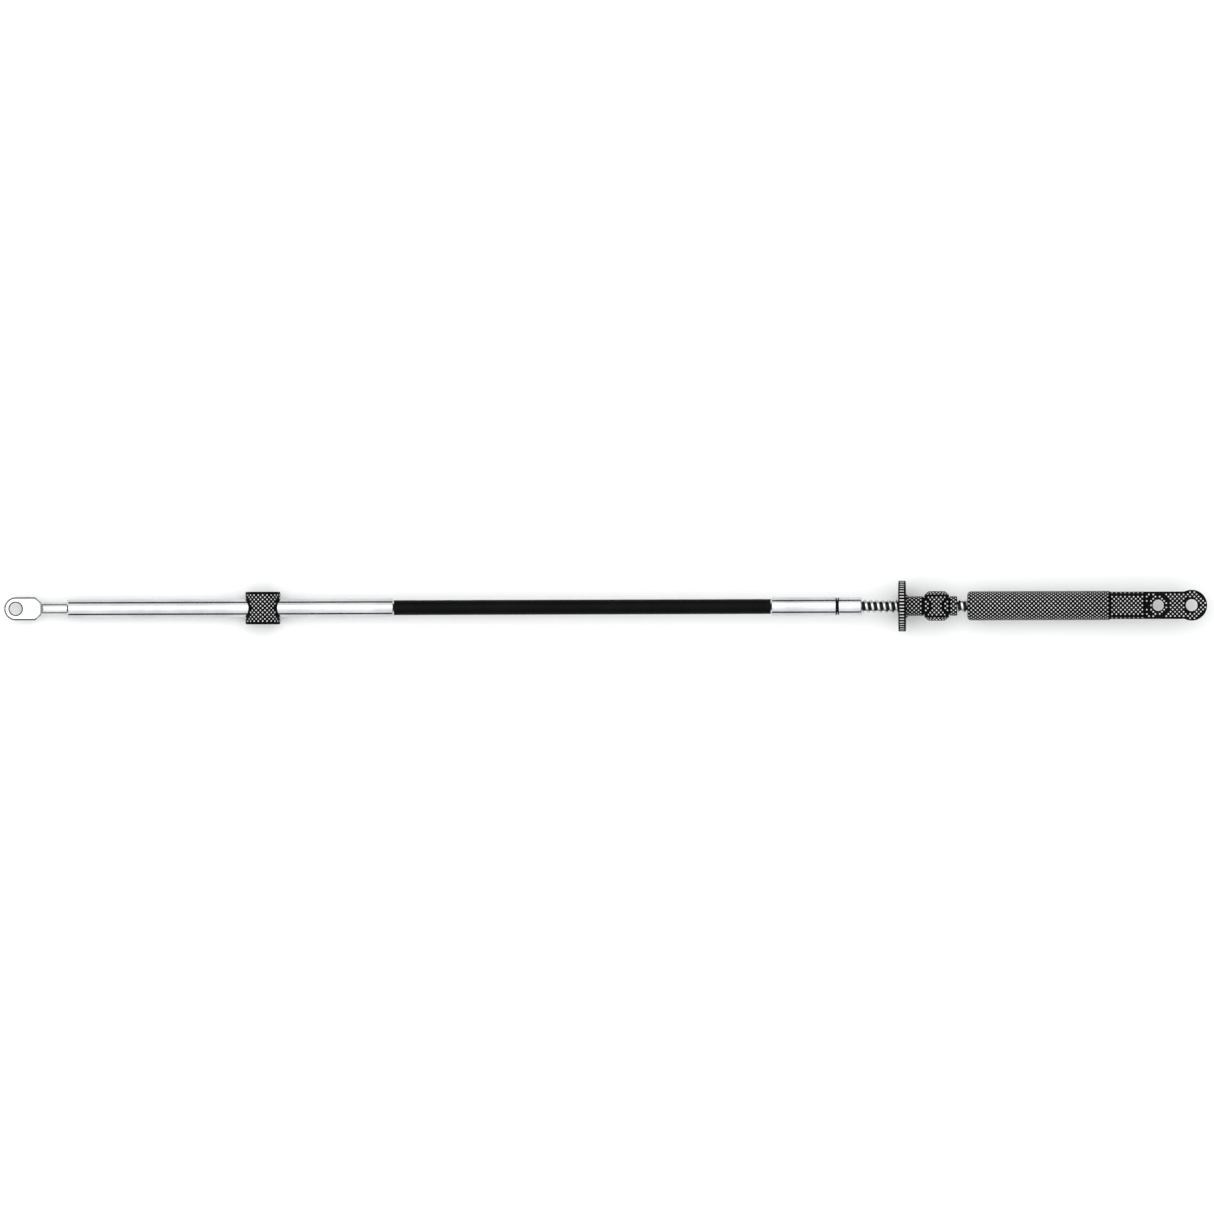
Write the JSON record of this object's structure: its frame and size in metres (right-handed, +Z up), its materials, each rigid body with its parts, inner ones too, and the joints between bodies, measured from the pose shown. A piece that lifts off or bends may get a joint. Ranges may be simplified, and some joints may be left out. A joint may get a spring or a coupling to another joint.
{
  "type": "push-pull engine control cable",
  "caption": "Push-pull control cable with a flat steel eye, a sleeve with a cross hub, a black conduit, a threaded adjuster with thumbwheel and barrel, and a sliding end guide with an eye.",
  "frame": {"origin": "centre of the bounding box's base, on the floor that the cable lies on", "axes": "+X runs along the cable from the flat eye to the end guide, and +Z up. Lying unheld on the hub and the thumbwheel, the cable climbs 0.72 degrees towards +X."},
  "size_m": [0.6386, 0.027, 0.027],
  "materials": {
    "forged_steel": "polished stainless forging",
    "drawn_steel": "drawn stainless tube, satin",
    "threaded_steel": "cut thread, bright crests",
    "core_steel": "stranded wire, oiled",
    "extruded_polyethylene": "extruded, semi-gloss",
    "moulded_nylon": "glass-filled, pipped grip pattern",
    "wheel_nylon": "glass-filled, ribbed rim"
  },
  "bodies": {
    "conduit": {"control_end_sleeve": "drawn_steel", "trunnion_hub": "moulded_nylon", "conduit_jacket": "extruded_polyethylene", "engine_end_sleeve": "drawn_steel", "threaded_tube": "threaded_steel"},
    "core": {"core_wire": "core_steel"},
    "eye": {"eye_terminal": "forged_steel"},
    "guide": {"end_guide": "moulded_nylon"},
    "barrel": {"adjuster_barrel": "moulded_nylon"},
    "nut": {"thumbwheel_nut": "wheel_nylon"}
  },
  "joints": [
    {"name": "core_slide", "type": "slide", "parent": "conduit", "child": "core", "axis": [0.9999, 0, 0.0126], "range_m": [-0.0045, 0.013]},
    {"name": "eye_turn", "type": "hinge", "parent": "core", "child": "eye", "pos_m": [-0.31316, 0, 0.0076], "axis": [0.9999, 0, 0.0126], "range_deg": [-90, 90]},
    {"name": "guide_turn", "type": "hinge", "parent": "core", "child": "guide", "pos_m": [0.31107, 0, 0.01545], "axis": [0.9999, 0, 0.0126], "range_deg": [-90, 90]},
    {"name": "barrel_travel", "type": "slide", "parent": "conduit", "child": "barrel", "axis": [0.9999, 0, 0.0126], "range_m": [-0.0175, 0.0001]},
    {"name": "wheel_turn", "type": "hinge", "parent": "barrel", "child": "nut", "pos_m": [0.17571, 0, 0.01375], "axis": [0.9999, 0, 0.0126], "range_deg": [-1980, 0]}
  ],
  "couplings": [
    {"joint": "barrel_travel", "follows": "wheel_turn", "m_per_rad": 0.00050532}
  ]
}
